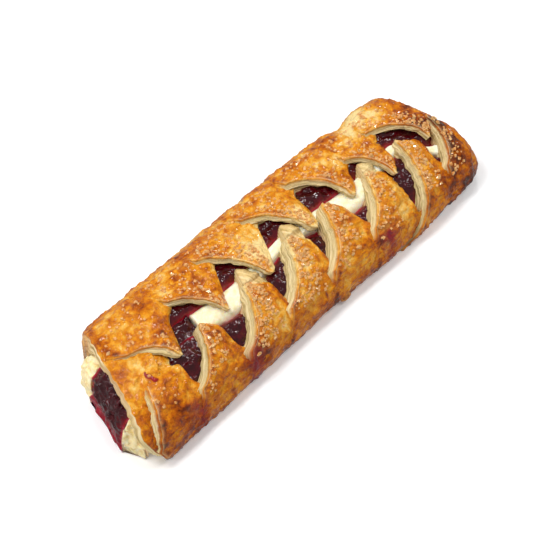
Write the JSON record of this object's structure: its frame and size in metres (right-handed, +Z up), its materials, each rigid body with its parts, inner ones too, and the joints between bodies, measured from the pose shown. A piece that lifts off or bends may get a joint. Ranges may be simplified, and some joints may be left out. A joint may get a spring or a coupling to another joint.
{
  "type": "cherry strudel",
  "caption": "Long braided puff pastry filled with dark cherry gel and cream cheese, open at one end, sugar on the crust.",
  "frame": {"origin": "middle of the whole, on the surface that the loaf rests on", "axes": "+X along the loaf from its open end to its closed end, +Y its left side seen from the open end, +Z up"},
  "size_m": [0.285, 0.0919, 0.0425],
  "materials": {
    "crust": "egg-washed golden brown puff pastry with pale layered cut edges and coarse sugar",
    "cherry_gel": "wet glossy dark red fruit gel",
    "cream_cheese": "soft ivory sweet cheese, slightly curdled where it oozed out"
  },
  "bodies": {
    "root": {"pastry": "crust", "cherry_filling": "cherry_gel", "cream_center": "cream_cheese", "cream_left": "cream_cheese", "cream_right": "cream_cheese"}
  },
  "joints": []
}
